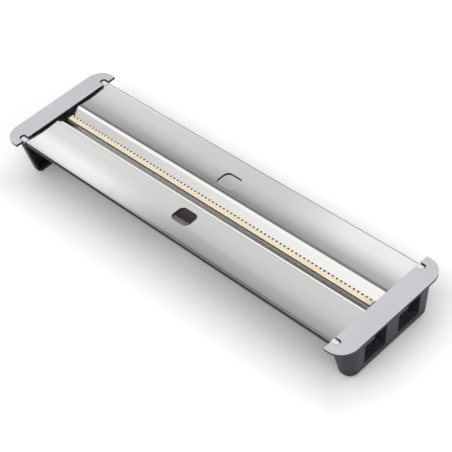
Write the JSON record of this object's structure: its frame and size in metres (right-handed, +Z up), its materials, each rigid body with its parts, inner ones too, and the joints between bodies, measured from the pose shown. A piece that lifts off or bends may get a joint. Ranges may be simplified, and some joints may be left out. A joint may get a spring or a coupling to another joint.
{
  "type": "film roll holder",
  "caption": "Drop-in holder for household film rolls: dark end caps with pale flanges, a centre rail with a serrated cutter strip, and hinged steel lids with finger holes.",
  "frame": {"origin": "centre of the footprint, on the plane that the end caps' flat bottoms stand on", "axes": "+X along the rolls, +Y across them towards the rear lid, +Z up"},
  "size_m": [0.36, 0.1026, 0.0385],
  "materials": {
    "cap_plastic": "fine moulded grain, dark slate grey",
    "plate_plastic": "satin, pale lavender grey",
    "rail_plastic": "extruded, satin, dark grey",
    "strip_plastic": "satin, cream",
    "lid_steel": "satin steel, brushed along the lid",
    "lug_nylon": "satin, white",
    "pad_rubber": "matt, black",
    "screw_steel": "zinc-plated"
  },
  "bodies": {
    "frame": {"end_cap_left": "cap_plastic", "end_cap_right": "cap_plastic", "flange_plate_left": "plate_plastic", "flange_plate_right": "plate_plastic", "cutter_rail": "rail_plastic", "cutter_strip": "strip_plastic", "front_left_pad": "pad_rubber", "front_right_pad": "pad_rubber", "rear_left_pad": "pad_rubber", "rear_right_pad": "pad_rubber", "rail_screw_right_outer": "screw_steel", "rail_screw_right_inner": "screw_steel", "rail_screw_left_inner": "screw_steel", "rail_screw_left_outer": "screw_steel"},
    "front_lid": {"front_lid": "lid_steel", "front_left_lug": "lug_nylon", "front_right_lug": "lug_nylon"},
    "rear_lid": {"rear_lid": "lid_steel", "rear_left_lug": "lug_nylon", "rear_right_lug": "lug_nylon"}
  },
  "joints": [
    {"name": "front_lid_hinge", "type": "hinge", "parent": "frame", "child": "front_lid", "pos_m": [0, -0.042, 0.0353], "axis": [1, 0, 0], "range_deg": [0, 105]},
    {"name": "rear_lid_hinge", "type": "hinge", "parent": "frame", "child": "rear_lid", "pos_m": [0, 0.042, 0.0353], "axis": [-1, 0, 0], "range_deg": [0, 105]}
  ]
}
